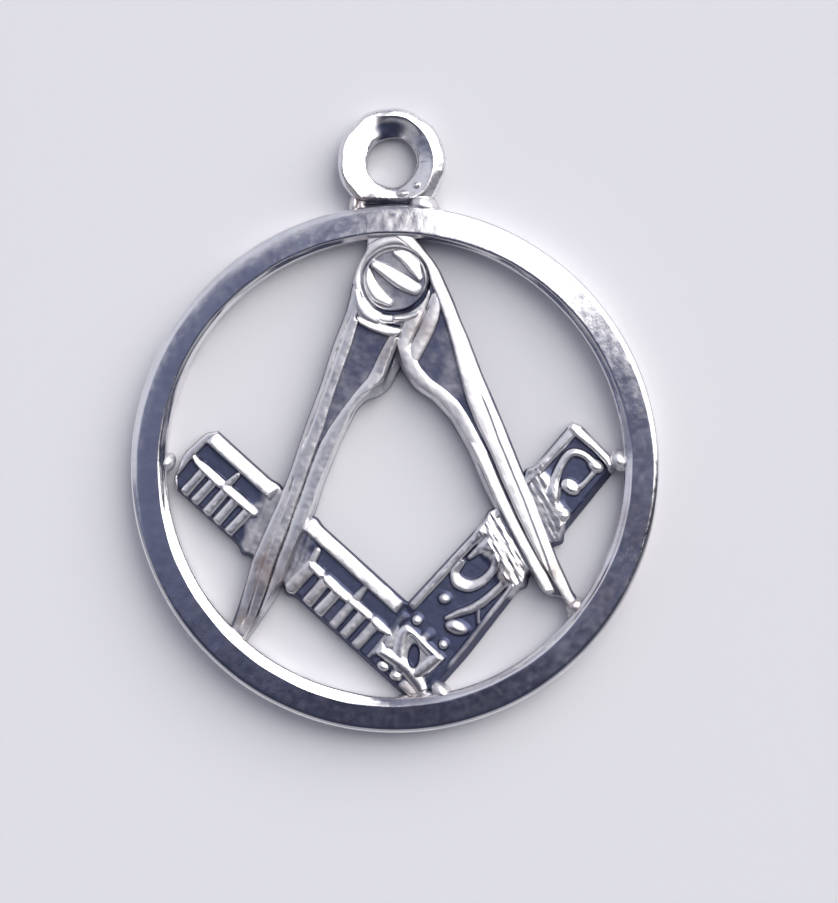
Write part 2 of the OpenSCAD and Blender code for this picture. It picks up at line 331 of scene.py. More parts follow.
silverLook = {
    "bright": (0.90, 0.89, 0.90, 1),
    "worn": (0.78, 0.77, 0.80, 1),
    "tarnishAndShade": (0.06, 0.071, 0.14, 1),     # tarnish and painted shade in the sunk places, its blue a painted reflection
    "brown": (0.36, 0.27, 0.24, 1),     # bloom round the soldered places
    "pitDepth": 0.003 * mm,
    "markDepth": 0.003 * mm,
    # noise patterns: scale, detail, roughness
    "clouds": (520, 4.0, 0.6),
    "specks": (3400, 3.0, 0.6),
    "stains": (900, 4.0, 0.6),
    "marks": (5.0, 3.0, 0.7),
    # smooth steps: where they start and stop, and the values before and after
    "cloudDepth": (0.3, 0.7, -0.12, 0.12),
    "wornShare": (0.35, 0.7, 0, 1),
    "streakShare": (0.5, 0.8, 0, 0.35),
    "stainShare": (0.3, 0.65, 0.25, 1),
    "tarnishAndShadeShare": (0.25, 0.95, 0, 0.96),
    "speckRoughness": (0.3, 0.7, -0.03, 0.03),
    "dullRange": (0.1, 0.9),    # how sunk a place is where its roughness starts and stops rising
    "stainColour": 0.75,        # how much a stain browns the metal, and how much duller it makes it
    "stainDullness": 0.3,
}
# For each part: roughness where it is rubbed, roughness where it is dull, strength of its tool marks
finishes = {
    "ring": (0.145, 0.4, 0.12),
    "loop": (0.26, 0.45, 1.0),
    "square": (0.3, 0.5, 1.0),
    "leftLeg": (0.32, 0.5, 1.0),
    "rightLeg": (0.38, 0.5, 1.0),
    "head": (0.36, 0.5, 1.0),
}


def wornSilver(name):
    # polished metal that is dull where it is sunk and darkened there by tarnish and painted shade, with
    # pits, tool marks and brown stains
    rubbed, dulled, marking = finishes[name]
    look = silverLook
    material = bpy.data.materials.new(name + "Silver")
    material.use_nodes = True
    tree = material.node_tree
    tree.nodes.clear()
    place = node(tree, "ShaderNodeTexCoord").outputs["Object"]
    depth = node(tree, "ShaderNodeAttribute", attribute_name="depth").outputs["Fac"]
    bloom = node(tree, "ShaderNodeAttribute", attribute_name="bloom").outputs["Fac"]
    along = node(tree, "ShaderNodeAttribute", attribute_name="grain").outputs["Vector"]

    def noise(vector, pattern):
        scale, detail, rough = look[pattern]
        return node(tree, "ShaderNodeTexNoise", {"Vector": vector, "Scale": scale, "Detail": detail,
                                                 "Roughness": rough}).outputs["Fac"]

    clouds = noise(place, "clouds")
    specks = noise(place, "specks")
    marks = noise(along, "marks")
    sunk = maths(tree, "ADD", depth, ranged(tree, clouds, *look["cloudDepth"]))
    tone = mixed(tree, ranged(tree, clouds, *look["wornShare"]), look["bright"], look["worn"])
    start, stop, none, most = look["streakShare"]
    streaked = mixed(tree, ranged(tree, marks, start, stop, none, most * marking), tone, look["brown"])
    stain = maths(tree, "MULTIPLY", bloom, ranged(tree, noise(place, "stains"), *look["stainShare"]))
    browned = mixed(tree, maths(tree, "MULTIPLY", stain, look["stainColour"]), streaked, look["brown"])
    # tarnish and painted shade darken what is sunk
    colour = mixed(tree, ranged(tree, sunk, *look["tarnishAndShadeShare"]), browned, look["tarnishAndShade"])
    dull = maths(tree, "ADD", sunk, maths(tree, "MULTIPLY", stain, look["stainDullness"]))
    rub = maths(tree, "ADD", ranged(tree, specks, *look["speckRoughness"]),
                ranged(tree, dull, *look["dullRange"], rubbed, dulled))
    pitted = node(tree, "ShaderNodeBump", {"Height": specks, "Distance": look["pitDepth"], "Strength": 1.0})
    marked = node(tree, "ShaderNodeBump", {"Height": marks, "Distance": look["markDepth"],
                                           "Strength": marking, "Normal": pitted.outputs[0]})
    shader = node(tree, "ShaderNodeBsdfPrincipled", {"Base Color": colour, "Metallic": 1.0,
                                                     "Roughness": rub, "Normal": marked.outputs[0]})
    node(tree, "ShaderNodeOutputMaterial", {"Surface": shader.outputs[0]})
    return material


silvers = {part: wornSilver(part) for part in finishes}
print("materials made")


ring = {
    "faceWidth": 1.4,           # flat face, with its rounded outer edge
    "chamfer": 0.35,            # how far down the inner chamfer runs
    "chamferRoom": 0.5,         # the most that it may run in
    # how far in it runs, by the angle in degrees
    "chamferWidth": [[0, 0.32], [30, 0.26], [60, 0.22], [150, 0.22], [180, 0.34], [200, 0.42], [225, 0.44],
                     [258, 0.42], [266, 0.34], [330, 0.33], [360, 0.32]],
    "outerRound": 0.3,
    "chamferRound": 0.07,
    "footRound": 0.12,
    # how far the face falls outwards, or inwards where it is below 0, by the angle
    "fall": [[0, -0.035], [18, -0.01], [30, 0.03], [44, 0.06], [56, 0.075], [70, 0.09], [90, 0.108],
             [103, 0.09], [118, 0.04], [150, 0.01], [225, 0.015], [250, 0.035], [290, 0.035],
             [310, 0.0], [330, -0.035], [360, -0.035]],
    # how far its outer part is rounded down besides
    "crown": [[0, 0], [20, 0.02], [34, 0], [95, 0], [112, 0.1], [130, 0.105], [155, 0.1], [185, 0.08],
              [215, 0.01], [235, 0], [360, 0]],
    "wobble": 0.03,             # unevenness of the edges
    "outerZone": 0.5,           # how far in from the outer edge its unevenness reaches
    "swelling": (225, 35, 0.07),    # where the face is wider: angle, spread in degrees, width
    "uneven": [(2.6, 1, 0.006), (0.7, 4, 0.0025)],      # waves of the face: length, seed, height
    "steps": 760,
    "spacing": 0.06,
}


def roundedSection(corners, radii, spacing):
    # a polygon whose corners are arcs of a quadratic curve, with points at an even spacing round it
    corners = np.asarray(corners, float)
    befores, afters = np.roll(corners, 1, 0), np.roll(corners, -1, 0)
    outline = []
    for before, corner, after, radius in zip(befores, corners, afters, radii):
        a = corner + (before - corner) / np.linalg.norm(before - corner) * radius
        b = corner + (after - corner) / np.linalg.norm(after - corner) * radius
        t = np.linspace(0, 1, 9)[:, None]
        outline.append((1 - t) ** 2 * a + 2 * t * (1 - t) * corner + t ** 2 * b)
    outline = np.vstack(outline + [outline[0][:1]])
    length = np.concatenate([[0], np.cumsum(np.hypot(*np.diff(outline, axis=0).T))])
    even = np.linspace(0, length[-1], int(length[-1] / spacing), endpoint=False)
    return np.stack([np.interp(even, length, outline[:, 0]), np.interp(even, length, outline[:, 1])], 1)


def makeRing(o):
    # the section's points carried round a circle, each pushed in or out by waves of the angle
    faceIn = ringRadius - o["faceWidth"]
    room = o["chamferRoom"]
    wallIn = faceIn - room
    section = roundedSection(
        [[wallIn, 0], [ringRadius, 0], [ringRadius, fobTop], [faceIn, fobTop],
         [wallIn, fobTop - o["chamfer"]]],
        [o["footRound"], o["footRound"], o["outerRound"], o["chamferRound"], o["chamferRound"]],
        o["spacing"])
    turn = np.linspace(0, 2 * math.pi, o["steps"], endpoint=False)[:, None]
    r, z = section[:, 0][None, :], section[:, 1][None, :]
    atInner = band(r, faceIn - 0.1, faceIn + 0.1, 0.3)
    outer = smooth((r - ringRadius + o["outerZone"]) / o["outerZone"])
    degrees = np.degrees(turn)
    narrower = (room - table(degrees, o["chamferWidth"], 1, 3)) * np.clip((faceIn - r) / room, 0, 1)
    wallSide = smooth((faceIn - 0.2 - r) / 0.25)
    waveIn = (np.sin(3 * turn + 0.4) + 0.6 * np.sin(7 * turn + 2) + 0.5 * np.sin(13 * turn)
              + 0.3 * np.sin(31 * turn))
    waveOut = 0.5 * (np.sin(2 * turn + 1) + np.sin(5 * turn) + 0.5 * np.sin(17 * turn + 1)) - 1
    widest, spread, more = o["swelling"]
    wider = more * np.exp(-((degrees - widest) / spread) ** 2)
    radius = (r + o["wobble"] * (atInner * waveIn + outer * np.minimum(waveOut, 0) * 0.5)
              + wider * atInner + narrower + 0.35 * o["wobble"] * wallSide * np.sin(5 * turn + 1))
    x, y = radius * np.cos(turn), radius * np.sin(turn)
    onFace = smooth((z - fobTop + 0.35) / 0.3)
    uneven = unevenness(x, y, o["uneven"]) - sum(height for _, _, height in o["uneven"])
    fall, share = table(degrees, o["fall"], 1, 3), np.clip((r - faceIn) / o["faceWidth"], 0, 1)
    crown = table(degrees, o["crown"], 1, 6)
    lower = np.maximum(fall, 0) * share - np.minimum(fall, 0) * (1 - share) + crown * share ** 2
    height = z + (uneven - lower) * onFace
    # the inner wall and what lies low are duller and darker: painted shade low down, tarnish and painted
    # shade on the inner wall
    wallAndLowShade = smooth((wallIn + 0.12 - r) / 0.1) * 0.3 + smooth((0.4 - z) / 0.4) * 0.3
    depth = np.clip(np.broadcast_to(wallAndLowShade, height.shape), 0, 1)
    grain = stacked(ringRadius * np.cos(turn), ringRadius * np.sin(turn), (radius + z) * 0.5)
    tube("ring", stacked(x, y, np.clip(height, 0, fobTop)), depth, grain, silvers["ring"])


loop = {
    # section: distance from the loop's centre, height, corner size
    "section": [(1.22, 0.06, 0.18), (2.68, 0.16, 0.3), (2.69, 1.28, 0.22), (2.2, 1.54, 0.2),
                (2.0, 1.56, 0.15), (1.24, 1.1, 0.25)],
    # angle, then how far out the crest lies there and the height where its inner slope ends
    "crest": [[0, 2.0, 1.3], [40, 2.05, 1.24], [66, 2.2, 0.98], [98, 2.25, 0.98], [120, 2.4, 1.5],
              [200, 2.42, 1.5], [222, 2.18, 1.48], [242, 2.02, 1.2], [256, 1.98, 1.05], [275, 2.1, 1.05],
              [315, 2.15, 1.18], [360, 2.0, 1.3]],
    "lean": (0.045, 2.7),       # how much it falls for each mm to the right, and how far left that starts
    # how much lower the right part lies besides, then where that starts to fade towards the left part and
    # over how many degrees, for the upper side and for the lower side
    "dip": (0.14, 168, 80, 265, 60),
    # angles between which the left part is filed flat, their softness, and how much that flat falls for
    # each mm to the right
    "filed": (106, 240, 20, 0.14),
    # angles between which the inner slope carries painted shade, their softness, and how far out that
    # reaches
    "paintedShadeSlope": (64, 122, 36, 2.3),
    "wobble": 0.035,            # unevenness of the edges
    "uneven": [(1.5, 3, 0.02), (0.6, 6, 0.006)],        # waves of the top: length, seed, height
    "cover": (13.15, 0.82),     # where it dips under the solder, and its height there
    "steps": 300,
    "spacing": 0.075,
}


def makeLoop(o):
    # the section's points carried round a circle, with a few flats left by the file
    corners = np.asarray(o["section"])
    section = roundedSection(corners[:, :2], corners[:, 2], o["spacing"])
    reach = corners[:, 0].max()
    centre = loopTopY - reach
    crest, inside, slopeLow = corners[4, 0], corners[5, 0], corners[5, 1]    # the section's last corners
    turn = np.linspace(0, 2 * math.pi, o["steps"], endpoint=False)[:, None]
    degrees = np.degrees(turn)
    r, z = section[:, 0][None, :], section[:, 1][None, :]
    high = smooth((z - 0.6) / 0.5)
    # the crest moves in or out, and what lies on either side of it is stretched or squeezed
    moved = table(degrees, o["crest"], 1, 8) - crest
    part = np.clip(np.where(r < crest, (r - inside) / (crest - inside), (reach - r) / (reach - crest)), 0, 1)
    raised = (table(degrees, o["crest"], 2, 8) - slopeLow) * (1 - part) * (r < crest)
    r, z = r + moved * part * high, z + raised * high
    flats = np.minimum(np.cos(9 * turn + 0.5) + 0.6 * np.sin(4 * turn + 1), 0.4) - 0.4
    outer = smooth((r - 1.7) / 0.9)
    waveIn = np.sin(2 * turn) + 0.7 * np.sin(5 * turn + 2)
    radius = r + o["wobble"] * (outer * flats + (1 - outer) * waveIn)
    x, y = radius * np.cos(turn), centre + radius * np.sin(turn)
    slope, start = o["lean"]
    z = z + high * (unevenness(x, y, o["uneven"]) - slope * (x + start))
    dip, early, earlySoft, late, lateSoft = o["dip"]
    right = np.maximum(smooth((early - degrees) / earlySoft), smooth((degrees - late) / lateSoft))
    z = z - dip * high * right
    first, last, soft, slope = o["filed"]
    flat = fobTop - 0.03 - slope * (x + reach)
    z = z + np.minimum(flat - z, 0) * band(degrees, first, last, soft) * (high > 0.5)
    coverY, coverZ = o["cover"]
    z = np.minimum(z, coverZ + (fobTop - coverZ) * smooth((y - coverY) / 0.3))
    # painted shade: the lower part, the hole's wall, the shaded slope and what the solder touches are darker
    # and duller
    first, last, soft, edge = o["paintedShadeSlope"]
    depth = smooth((0.6 - z) / 0.5) * 0.6 + smooth((1.32 - radius) / 0.12) * 0.4
    depth = depth + band(degrees, first, last, soft) * smooth((edge - radius) / 0.5) * high
    depth = np.clip(depth + 0.8 * smooth((13.5 - y) / 0.25) * high, 0, 1)
    grain = stacked(r, 2 * np.cos(turn), 0.3 * np.sin(turn))
    tube("suspensionLoop", stacked(x, y, np.clip(z, 0, fobTop)), depth, grain, silvers["loop"])


neck = {
    # distance up, left edge, right edge
    "plan": [[12.3, -2.3, 2.75], [12.75, -2.25, 2.6], [12.95, -2.15, 2.3], [13.2, -2.0, 2.08],
             [13.45, -1.9, 1.95], [13.8, -1.75, 1.8]],
    "height": 1.0,
    "trough": [[-1.5, 13.1], [-0.8, 13.18], [0.2, 13.2], [1.05, 13.16]],
    "draft": 0.08,
    "round": 0.14,
    "rows": 70,
    "cols": 120,
}


def makeNeck(o):
    # the solder between the loop and the ring: rows up the page, each from its left edge to its right one
    y = np.linspace(o["plan"][0][0], o["plan"][-1][0], o["rows"])[:, None] + np.zeros(o["cols"])
    share = crowded(o["cols"], 0.12)[None, :]
    left, right, draft = table(y, o["plan"], 1, 0.1), table(y, o["plan"], 2, 0.1), o["draft"]
    x = left + draft + (right - left - 2 * draft) * share
    z = o["height"] + 0.04 * castWaves(x, y, 1.1, 2) + 0.45 * smooth((12.9 - y) / 0.2)
    z = z - groove(x, y, curve(o["trough"]), 0.14, 0.18)
    edge = np.minimum(x - left - draft, right - draft - x)
    z = np.clip(z - edgeDrop(edge, o["round"]), 0.2, fobTop - 0.03)
    foot = stacked(left + (right - left) * share, y)
    # painted shade: what lies lower, down in the trough, is darker and duller
    depth = np.clip((o["height"] + 0.12 - z) / 0.3, 0, 0.95)
    plate("loopNeck", stacked(x, y, z), foot, levels["back"], depth, stacked(x, y, 0), silvers["loop"])


legs = {
    "pivot": (0.13, 9.3),
    "draft": 0.08,
    "round": 0.12,
    "footFall": 0.12,           # how much lower the tips lie
    "sideFoot": 0.9,            # height where the sloping inner side ends
    "seam": [(0.32, 6.59), (-0.44, 4.62)],     # line where the two legs meet below the head
    "seamCut": (0.07, 0.07, 4.4, 7),           # its depth, half width, lower end and upper end
    "under": 0.3,               # how much lower a leg lies where another part covers it
    "left": {
        "side": -1,
        "lean": 24.45,
        # distance along the leg, half width outside its axis, half width inside
        "plan": [[0.8, 1.95, 0.6], [1.7, 1.77, 1.2], [2.4, 1.66, 1.6], [3.9, 1.6, 1.98], [4.9, 1.5, 1.9],
                 [5.5, 1.41, 1.6], [5.95, 1.36, 1.09], [6.6, 1.31, 0.84], [8.4, 1.21, 0.75],
                 [10.6, 1.0, 0.83], [12, 0.95, 1], [15.4, 0.95, 1], [16.6, 0.76, 0.96],
                 [17.7, 0.64, 0.78], [19.6, 0.5, 0.4]],
        # ridges: rows of distance along, inner edge, outer edge; then rise, fullness, crest, and over how
        # far the upper end rises
        "ridges": [
            ([[0.8, 1.2, 1.95], [1.15, 1.1, 1.88], [1.7, 1.0, 1.77], [2.2, 0.9, 1.7], [2.7, 0.82, 1.65],
              [3.2, 0.74, 1.62], [4.04, 0.64, 1.58], [5.63, 0.54, 1.4], [7.21, 0.4, 1.3],
              [8.25, 0.27, 1.24], [9.24, 0.22, 1.18], [10.28, 0.14, 1.05], [11.33, 0.05, 0.98],
              [12.4, -0.01, 0.95], [13.2, -0.1, 0.96], [14.74, -0.16, 0.96], [15.6, -0.24, 0.95],
              [16.6, -0.36, 0.78], [17.6, -0.42, 0.66], [18.4, -0.4, 0.56], [19.4, -0.35, 0.5]],
             0.25, 0.24, -0.8, 0.4),
            ([[1.9, -1.3, -0.85], [2.3, -1.34, -0.85], [3.46, -1.42, -0.74], [4.4, -1.46, -0.72],
              [5.0, -1.32, -0.68], [5.7, -1.0, -0.44], [6.32, -0.72, -0.3], [6.95, -0.62, -0.15],
              [8.09, -0.7, 0.06], [8.85, -0.72, 0.15], [10.28, -0.72, 0.09], [11.33, -0.8, 0.0],
              [12.38, -0.86, -0.06], [13.9, -0.88, -0.19], [14.9, -0.9, -0.23], [15.6, -0.92, -0.31],
              [16.6, -0.86, -0.4], [17.4, -0.74, -0.46], [17.9, -0.6, -0.42]], 0.22, 0.24, -0.7, 0.4),
        ],
        # how wide the sloping inner side is, by the distance along
        "sideWidth": [[1, 0.2], [3.5, 0.3], [4.6, 0.42], [5.5, 0.5], [6.4, 0.3], [7.5, 0.16], [8.6, 0.12],
                      [10, 0.16], [11, 0.22], [15, 0.2], [16, 0.2], [17.7, 0.2], [19.6, 0.2]],
        # fine furrows: path, half width, depth
        "furrows": [([[10.9, 0.64], [11.6, 0.58], [12.6, 0.52], [13.4, 0.47], [15, 0.37], [16.5, 0.22],
                      [17.9, 0.04], [18.6, 0.0]], 0.06, 0.12),
                    ([[2.2, 1.36], [4, 1.2], [6, 1.05], [8, 0.9], [9.6, 0.82]], 0.06, 0.05)],
        # raised bands across the top of the panel: path, half widths, height
        "bands": [],
        "seamSide": 1,          # 1 where the other leg lies to the right of the seam, -1 to the left
    },
    "right": {
        "side": 1,
        "lean": 27.6,
        "plan": [[-1.9, 1.78, -0.92], [-1.5, 1.9, -1.05], [-1, 1.98, -1.1], [-0.5, 2.06, -1.1],
                 [0, 2.16, -0.9], [0.6, 2.2, 0], [1, 2.17, 0.6], [1.6, 2.13, 1.1], [2.3, 2.08, 1.5],
                 [3.26, 1.94, 1.7], [3.95, 1.9, 1.86], [5.05, 1.76, 1.76], [5.5, 1.7, 1.54],
                 [6.1, 1.62, 1.21], [7.4, 1.52, 0.9], [9.2, 1.34, 0.86], [11.3, 1.1, 1.05],
                 [12.8, 0.95, 1.07], [15.6, 0.6, 1.1],
                 [15.9, 0.56, 0.98], [16.9, 0.5, 0.92], [17.25, 0.48, 0.78], [17.5, 0.46, 0.4],
                 [17.65, 0.45, 0.2], [18.1, 0.52, 0.22], [18.4, 0.56, 0.22], [19.2, 0.44, 0.16]],
        "ridges": [
            ([[-2.6, 0.8, 1.6], [-1.9, 0.98, 1.78], [-1.5, 1.15, 1.9], [-1, 1.36, 1.98],
              [-0.5, 1.55, 2.06], [0, 1.62, 2.16], [0.5, 1.58, 2.2], [1, 1.44, 2.17],
              [1.6, 1.4, 2.13], [2.3, 1.3, 2.08], [2.89, 1.2, 2.0], [4.14, 0.92, 1.88],
              [5.37, 0.6, 1.71], [6.86, 0.25, 1.56], [8, 0.12, 1.46], [9.0, 0.08, 1.36],
              [10.07, 0.03, 1.23], [11.13, -0.09, 1.12], [12.21, -0.17, 1.01], [13.29, -0.25, 0.9],
              [14.4, -0.3, 0.78], [15.4, -0.3, 0.64], [16.3, -0.24, 0.53], [17, -0.2, 0.48],
              [17.6, -0.18, 0.46], [18.1, -0.15, 0.52], [18.4, -0.13, 0.56], [19.6, -0.14, 0.4]],
             0.26, 0.62, -0.8, 0.4),
            ([[2.9, -1.68, -0.98], [3.61, -1.76, -0.95], [4.45, -1.72, -0.94], [5.12, -1.55, -0.78],
              [5.9, -1.16, -0.4], [6.73, -0.88, -0.1], [7.6, -0.78, -0.02], [8.64, -0.76, -0.02],
              [10.0, -0.76, -0.04]], 0.2, 0.13, 0.1, 0.4),
            ([[7.6, -0.6, -0.02], [9.0, -0.64, 0.0], [9.77, -0.66, -0.02], [10.85, -0.74, -0.12],
              [11.91, -0.82, -0.21], [12.99, -0.85, -0.28], [14.2, -0.88, -0.3], [15.4, -0.88, -0.28],
              [16.2, -0.87, -0.26], [16.9, -0.86, -0.28], [17.4, -0.76, -0.3]],
             0.26, 0.5, -0.72, 2.2),
        ],
        "sideWidth": [[-1.5, 0.05], [2, 0.1], [3.2, 0.1], [4.45, 0.12], [5.1, 0.16], [6.1, 0.16],
                      [7.4, 0.14], [9.2, 0.14], [11.3, 0.2], [12.2, 0.16], [12.8, 0.05], [15.6, 0.05],
                      [16, 0.06], [17.3, 0.06], [19.6, 0.05]],
        "furrows": [([[6.8, 1.02], [8.2, 0.86], [9.33, 0.68], [10.4, 0.58], [11.45, 0.47], [12.5, 0.37],
                      [13.56, 0.23], [14.6, 0.09], [15.4, 0.0], [16.2, -0.16], [16.9, -0.24]], 0.06, 0.075),
                    ([[1.89, 0.92], [2.55, 0.0], [3.25, -1.0]], 0.06, 0.09)],
        "bands": [([[1.2, 0.9], [2.1, -0.1], [3.1, -1.4]], [0.36, 0.42, 0.46], 0.2),
                  ([[1.75, 1.35], [2.5, 0.62], [3.35, -0.5], [3.75, -1.05]], [0.3, 0.4, 0.42, 0.36], 0.19)],
        "seamSide": -1,
    },
    "rows": 440,
    "cols": 112,
}


def legPlace(x, y, leg):
    # distance down the leg from the hinge, and distance out from its axis
    c, s = math.cos(math.radians(leg["lean"])), math.sin(math.radians(leg["lean"]))
    dx, dy = (x - legs["pivot"][0]) * leg["side"], y - legs["pivot"][1]
    return dx * s - dy * c, dx * c + dy * s


def legPoint(down, out, leg):
    # the point at those two distances
    c, s = math.cos(math.radians(leg["lean"])), math.sin(math.radians(leg["lean"]))
    return legs["pivot"][0] + leg["side"] * (down * s + out * c), legs["pivot"][1] - down * c + out * s


def legGap(x, y, leg):
    # how far a point lies outside the leg's outline, below 0 inside it
    down, out = legPlace(x, y, leg)
    return np.maximum(out - table(down, leg["plan"], 1), -out - table(down, leg["plan"], 2))


def legHeight(x, y, leg):
    # the panel's floor, the ridges and bands that stand on it, then the sloping inner side, the seam
    # with the other leg and the part that lies under the head
    down, out = legPlace(x, y, leg)
    outer, inner = table(down, leg["plan"], 1), table(down, leg["plan"], 2)
    z = levels["panel"] + 0.01 * castWaves(x, y, 0.9, 2)
    for rows, rise, fullness, crest, fade in leg["ridges"]:
        low, high = table(down, rows, 1, 0.12), table(down, rows, 2, 0.12)
        ends = smooth((down - rows[0][0]) / fade) ** 0.5 * smooth((rows[-1][0] - down) / 0.4) ** 0.5
        z = np.maximum(z, levels["panel"] + rise * ends * ridge(out, low, high, fullness, crest))
    for path, halves, rise in leg["bands"]:
        z = np.maximum(z, levels["panel"] + wire(down, out, curve(path), halves, rise, 0.22))
    for path, half, depth in leg["furrows"]:
        z = z - groove(down, out, path, half, depth)
    z = z + 0.01 * castWaves(x, y, 1.4, 5) + 0.004 * castWaves(x, y, 0.45, 2)
    z = z - legs["footFall"] * smooth((down - 16) / 2.6)
    outEdge, inEdge = outer - legs["draft"] - out, out + inner - legs["draft"]
    ramp = legs["sideFoot"] + (z - legs["sideFoot"]) * np.clip(inEdge / table(down, leg["sideWidth"]), 0, 1)
    z = np.minimum(z, ramp + 0.03) - edgeDrop(outEdge, legs["round"])
    (ax, ay), (bx, by) = legs["seam"]
    length = math.hypot(bx - ax, by - ay)
    beyond = leg["seamSide"] * ((x - ax) * (ay - by) - (y - ay) * (ax - bx)) / length
    cut, half, lower, upper = legs["seamCut"]
    z = z - cut * np.exp(-(beyond / half) ** 2) * smooth((y - lower) / 0.4) * smooth((upper - y) / 0.4)
    z = z - legs["under"] * smooth(beyond / 0.16) * smooth((8.4 - y) / 0.4)
    r = np.hypot(x - head["disc"][0], y - head["disc"][1])
    z = z - legs["under"] * smooth((head["edgeRadius"] - r) / 0.12)
    if leg["side"] > 0:
        return z
    # the left leg's whole top lies under the head
    z = z - legs["under"] * smooth((2.6 - down) / 0.15) * smooth((1.1 - out) / 0.15)
    return z - 0.2 * smooth((1.15 - down) / 0.3)


def makeLeg(name, leg):
    # a grid with one way down the leg and the other across it, between the outline's two sides
    down = np.linspace(leg["plan"][0][0], leg["plan"][-1][0], legs["rows"])[:, None]
    share = crowded(legs["cols"], 0.2)[None, :]
    outer, inner = table(down, leg["plan"], 1), table(down, leg["plan"], 2)
    draft = legs["draft"]
    out = draft - inner + (outer + inner - 2 * draft) * share
    x, y = legPoint(down, out, leg)
    z = legHeight(x, y, leg)
    foot = stacked(*legPoint(down, -inner + (outer + inner) * share, leg))
    # tarnish and painted shade darken what is sunk, less on the sloping inner side
    onSide = 1 - smooth((out + inner - draft) / table(down, leg["sideWidth"]) - 0.4)
    depth = np.clip((levels["compass"] - 0.06 - z) / 0.18, 0, 0.8) * (1 - 0.55 * onSide)
    grain = stacked(out, 0.06 * down, leg["side"])
    plate(name, stacked(x, y, z), foot, levels["back"], depth, grain, silvers[name])


head = {
    # distance up from the ring's centre, left edge, right edge
    "plan": [[6.2, -1.5, 0.2], [6.69, -1.6, 0.33], [7.0, -1.7, 0.44], [7.3, -1.86, 0.98],
             [7.5, -1.92, 1.24], [7.8, -1.9, 1.36], [8.0, -1.88, 1.42], [8.4, -1.93, 1.62],
             [8.84, -1.96, 1.78], [9.28, -2.02, 1.84], [9.8, -1.88, 1.76], [10.2, -1.7, 1.56],
             [10.55, -1.48, 1.3], [10.8, -1.33, 1.24], [11.1, -1.31, 1.26], [11.6, -1.3, 1.26]],
    # lower end of the head: distance across, height
    "lowerEnd": [[-1.84, 7.4], [-1.7, 7.1], [-1.15, 6.78], [-0.42, 6.5], [0.1, 6.42], [0.33, 6.6],
                 [0.45, 6.95], [0.8, 7.2], [1.2, 7.42], [1.4, 7.9], [1.6, 8.3]],
    "disc": (0.12, 9.28),
    "discRadius": 1.5,
    "edgeRadius": 1.74,         # where the head starts to cover the legs
    # how far below the compasses' level the ground of the disc and the lobes lies, and how far the top
    "sunk": 0.2,
    "top": 0.06,
    "rim": (1.95, 0.28, 0.07),          # round rim: radius, half width, height
    "groove": (1.62, 0.08, 0.14),       # round groove: radius, half width, depth
    # towards the lower right the groove is smaller, wider and deeper, and towards the upper right it is
    # narrower: direction, spread, then by how much
    "lowerRight": (-55, 60, 0.08, 0.15, 0.1),
    "upperRight": (30, 60, 0.03),
    # raised forms on the disc: path, half widths, height, crest
    "forms": [
        ([[-0.86, 10.08], [-0.38, 9.78], [0.1, 9.44], [0.62, 9.11], [1.08, 8.87]],
         [0.24, 0.34, 0.4, 0.42, 0.36], 0.3, -0.6),
        ([[-1.25, 9.72], [-1.08, 9.15], [-0.75, 8.6], [-0.2, 8.22]], [0.24, 0.34, 0.38, 0.24], 0.28, -0.6),
        ([[0.2, 10.66], [0.62, 10.4], [1.02, 9.98], [1.34, 9.4]], [0.2, 0.32, 0.34, 0.16], 0.24, -0.65),
    ],
    # furrow across the lobes: path, half width, depth
    "lobeGroove": ([[-0.75, 7.24], [-0.35, 7.14], [0.0, 7.05], [0.36, 6.98]], 0.06, 0.12),
    # raised forms below the disc: path, half widths, height
    "lobes": [([[-1.72, 7.3], [-1.1, 7.02], [-0.4, 6.78], [0.14, 6.74]], [0.26, 0.36, 0.36, 0.26], 0.28),
              ([[-1.84, 8.75], [-1.62, 8.15], [-1.25, 7.66], [-0.85, 7.42]], [0.16, 0.34, 0.46, 0.4], 0.28),
              ([[0.12, 7.42], [0.58, 7.48], [1.15, 7.64]], [0.2, 0.27, 0.22], 0.26),
              ([[-0.85, 7.35], [-0.3, 7.36], [0.2, 7.4]], [0.3, 0.26, 0.2], 0.16)],
    "round": 0.1,
    "draft": 0.06,
    "rows": 210,
    "cols": 190,
}


def headHeight(x, y):
    # the rim and the lobes below it, less the round groove; inside it the disc, whose bar and two
    # crescents are raised
    h = head
    dx, dy = x - h["disc"][0], y - h["disc"][1]
    r, turn = np.hypot(dx, dy), np.degrees(np.arctan2(dy, dx))
    floor = levels["compass"] - h["sunk"]
    z = levels["compass"] - h["top"] - 0.04 * smooth((r - 1.9) / 0.8) * (y > 9)
    radius, half, rise = h["rim"]
    z = z + rise * back((r - radius) / half, 0.6, 0) * smooth((y - 7.9) / 0.6)
    z = np.maximum(z + (floor - z) * smooth((8.1 - y) / 0.4), floor + wires(x, y, h["lobes"], 0.45, -0.35))
    radius, half, depth = h["groove"]
    direction, spread, smaller, wider, deeper = h["lowerRight"]
    lowerRight = smooth(1 - np.abs((turn - direction) / spread))
    direction, spread, narrower = h["upperRight"]
    half = half + wider * lowerRight - narrower * smooth(1 - np.abs((turn - direction) / spread))
    radius, depth = radius - smaller * lowerRight, depth + deeper * lowerRight
    z = z - depth * np.exp(-((r - radius) / half) ** 2)
    inside = smooth((h["discRadius"] + 0.02 - r) / 0.1)
    z = z * (1 - inside) + (floor + wires(x, y, h["forms"], 0.42)) * inside
    path, half, depth = h["lobeGroove"]
    z = z - groove(x, y, curve(path), half, depth)
    # where the right leg's border takes over, the head lies a little lower
    down, out = legPlace(x, y, legs["right"])
    border = legs["right"]["ridges"][0][0]
    z = z - 0.15 * smooth((out - table(down, border, 1) - 0.02) / 0.1) * smooth((down + 2.4) / 0.25)
    return z + 0.006 * castWaves(x, y, 1.2, 7)


